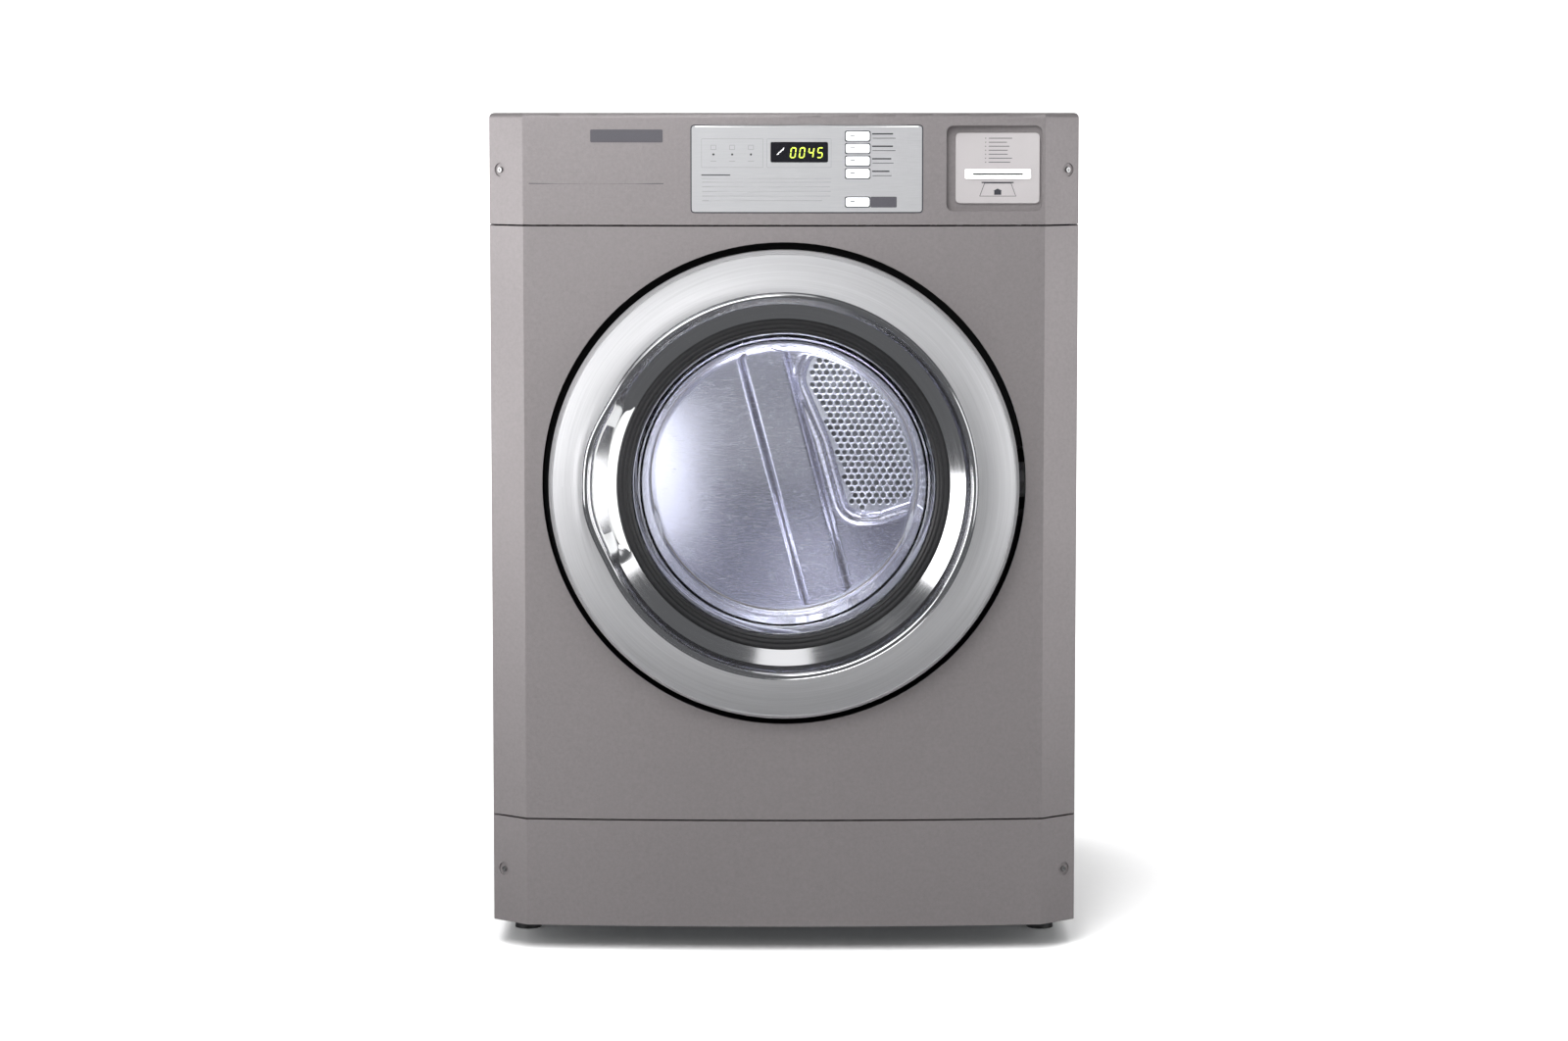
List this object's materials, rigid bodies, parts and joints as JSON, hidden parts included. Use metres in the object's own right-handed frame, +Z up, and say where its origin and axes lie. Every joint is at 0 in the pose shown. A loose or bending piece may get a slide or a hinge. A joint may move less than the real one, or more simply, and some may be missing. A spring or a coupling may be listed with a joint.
{
  "type": "commercial tumble dryer",
  "caption": "Front-loading commercial tumble dryer with a bowed silver cabinet, a large round glass door, a card-operated control panel and a rotating drum.",
  "frame": {"origin": "on the floor under the middle of the overall box", "axes": "+Z up, +X to the right seen from the front, +Y to the rear; the door faces -Y"},
  "size_m": [0.686, 0.764, 0.983],
  "materials": {
    "body_paint": "warm silver metallic paint, fine flake",
    "galvanised": "zinc-coated sheet steel, matt spangle",
    "overlay_silver": "fine brushed silver overlay",
    "display_lens": "smoked display window",
    "circuit_board": "green board",
    "reader_silver": "satin plate",
    "white_plastic": "white moulded plastic",
    "black_plastic": "black moulded plastic",
    "grey_plastic": "grey moulded plastic",
    "lifter_plastic": "light grey moulded plastic",
    "filter_plastic": "grey frame with fine mesh",
    "screw_steel": "zinc-plated steel",
    "black_rubber": "black rubber",
    "roller_rubber": "grey rubber tyre on a hub",
    "felt": "wool felt",
    "drum_steel": "polished stainless steel",
    "element_metal": "oxidised heating rod",
    "motor_iron": "grey enamelled motor",
    "door_brushed": "circular-brushed ring",
    "door_chrome": "polished chrome",
    "door_glass": "clear tempered glass",
    "hinge_black": "black coated steel",
    "button_white": "white key caps"
  },
  "bodies": {
    "cabinet": {"base_pan": "galvanised", "left_side_panel": "body_paint", "right_side_panel": "body_paint", "rear_panel": "galvanised", "top_cover": "body_paint", "front_panel": "body_paint", "kick_panel": "body_paint", "control_housing": "body_paint", "control_overlay": "overlay_silver", "display_window": "display_lens", "control_board": "circuit_board", "card_reader_plate": "reader_silver", "card_slot_bezel": "white_plastic", "card_reader_module": "black_plastic", "cabinet_screws": "screw_steel", "leveling_feet": "black_rubber", "front_bulkhead": "drum_steel", "loading_throat": "drum_steel", "rear_bulkhead": "drum_steel", "inlet_grille": "drum_steel", "drum_felt_seals": "felt", "roller_axles": "screw_steel", "heater_duct": "galvanised", "heater_element": "element_metal", "blower_housing": "grey_plastic", "lint_duct": "grey_plastic", "exhaust_duct": "galvanised", "motor_body": "motor_iron", "drive_belt": "black_rubber", "idler_bracket": "galvanised", "door_switch": "black_plastic", "latch_catch": "black_plastic", "hinge_bracket": "galvanised", "hinge_pin": "screw_steel"},
    "drum": {"drum_shell": "drum_steel", "drum_lifters": "lifter_plastic"},
    "door": {"door_outer_ring": "door_brushed", "door_inner_bevel": "door_chrome", "door_handle": "door_chrome", "door_glass": "door_glass", "door_liner": "black_plastic", "door_seal": "black_rubber", "door_hinge_arm": "hinge_black", "door_strike": "screw_steel", "glass_gasket": "black_rubber"},
    "motor_shaft": {"motor_rotor": "screw_steel", "blower_wheel": "black_plastic"},
    "idler_lever": {"idler_arm": "galvanised"},
    "idler_wheel": {"idler_pulley": "black_plastic"},
    "lint_screen": {"lint_filter": "filter_plastic"},
    "switch_plunger": {"door_switch_plunger": "white_plastic"},
    "front_left_roller_wheel": {"front_left_roller": "roller_rubber"},
    "front_right_roller_wheel": {"front_right_roller": "roller_rubber"},
    "rear_left_roller_wheel": {"rear_left_roller": "roller_rubber"},
    "rear_right_roller_wheel": {"rear_right_roller": "roller_rubber"},
    "high_heat_button_key": {"high_heat_button": "button_white"},
    "medium_heat_button_key": {"medium_heat_button": "button_white"},
    "low_heat_button_key": {"low_heat_button": "button_white"},
    "extra_dry_button_key": {"extra_dry_button": "button_white"},
    "start_button_key": {"start_button": "button_white"}
  },
  "joints": [
    {"name": "door_swing", "type": "hinge", "parent": "cabinet", "child": "door", "pos_m": [0.297, -0.322, 0.553], "axis": [0, 0, 1], "range_deg": [0, 120]},
    {"name": "drum_spin", "type": "hinge", "parent": "cabinet", "child": "drum", "pos_m": [0, 0, 0.553], "axis": [0, 1, 0], "continuous": true},
    {"name": "motor_spin", "type": "hinge", "parent": "cabinet", "child": "motor_shaft", "pos_m": [0.13, 0, 0.14], "axis": [0, 1, 0], "continuous": true},
    {"name": "idler_swing", "type": "hinge", "parent": "cabinet", "child": "idler_lever", "pos_m": [-0.08, 0.108, 0.15], "axis": [0, 1, 0], "range_deg": [0, 8], "stiffness_Nm_per_rad": 3, "springref_deg": -17.19},
    {"name": "idler_spin", "type": "hinge", "parent": "idler_lever", "child": "idler_wheel", "pos_m": [-0.01625, 0.1, 0.18662], "axis": [0, 1, 0], "continuous": true},
    {"name": "lint_filter_slide", "type": "slide", "parent": "cabinet", "child": "lint_screen", "axis": [0, 0, 1], "range_m": [0, 0.15]},
    {"name": "door_switch_press", "type": "slide", "parent": "cabinet", "child": "switch_plunger", "axis": [0, 1, 0], "range_m": [0, 0.0015], "stiffness_N_per_m": 300},
    {"name": "front_left_roller_spin", "type": "hinge", "parent": "cabinet", "child": "front_left_roller_wheel", "pos_m": [-0.19525, -0.218, 0.27416], "axis": [0, 1, 0], "continuous": true},
    {"name": "front_right_roller_spin", "type": "hinge", "parent": "cabinet", "child": "front_right_roller_wheel", "pos_m": [0.19525, -0.218, 0.27416], "axis": [0, 1, 0], "continuous": true},
    {"name": "rear_left_roller_spin", "type": "hinge", "parent": "cabinet", "child": "rear_left_roller_wheel", "pos_m": [-0.19525, 0.278, 0.27416], "axis": [0, 1, 0], "continuous": true},
    {"name": "rear_right_roller_spin", "type": "hinge", "parent": "cabinet", "child": "rear_right_roller_wheel", "pos_m": [0.19525, 0.278, 0.27416], "axis": [0, 1, 0], "continuous": true},
    {"name": "high_heat_button_press", "type": "slide", "parent": "cabinet", "child": "high_heat_button_key", "axis": [0, 1, 0], "range_m": [0, 0.0012], "stiffness_N_per_m": 400},
    {"name": "medium_heat_button_press", "type": "slide", "parent": "cabinet", "child": "medium_heat_button_key", "axis": [0, 1, 0], "range_m": [0, 0.0012], "stiffness_N_per_m": 400},
    {"name": "low_heat_button_press", "type": "slide", "parent": "cabinet", "child": "low_heat_button_key", "axis": [0, 1, 0], "range_m": [0, 0.0012], "stiffness_N_per_m": 400},
    {"name": "extra_dry_button_press", "type": "slide", "parent": "cabinet", "child": "extra_dry_button_key", "axis": [0, 1, 0], "range_m": [0, 0.0012], "stiffness_N_per_m": 400},
    {"name": "start_button_press", "type": "slide", "parent": "cabinet", "child": "start_button_key", "axis": [0, 1, 0], "range_m": [0, 0.0012], "stiffness_N_per_m": 400}
  ],
  "couplings": [
    {"joint": "motor_spin", "follows": "drum_spin", "ratio": 25.417},
    {"joint": "idler_spin", "follows": "drum_spin", "ratio": -16.944},
    {"joint": "front_left_roller_spin", "follows": "drum_spin", "ratio": -8.7143},
    {"joint": "front_right_roller_spin", "follows": "drum_spin", "ratio": -8.7143},
    {"joint": "rear_left_roller_spin", "follows": "drum_spin", "ratio": -8.7143},
    {"joint": "rear_right_roller_spin", "follows": "drum_spin", "ratio": -8.7143}
  ]
}
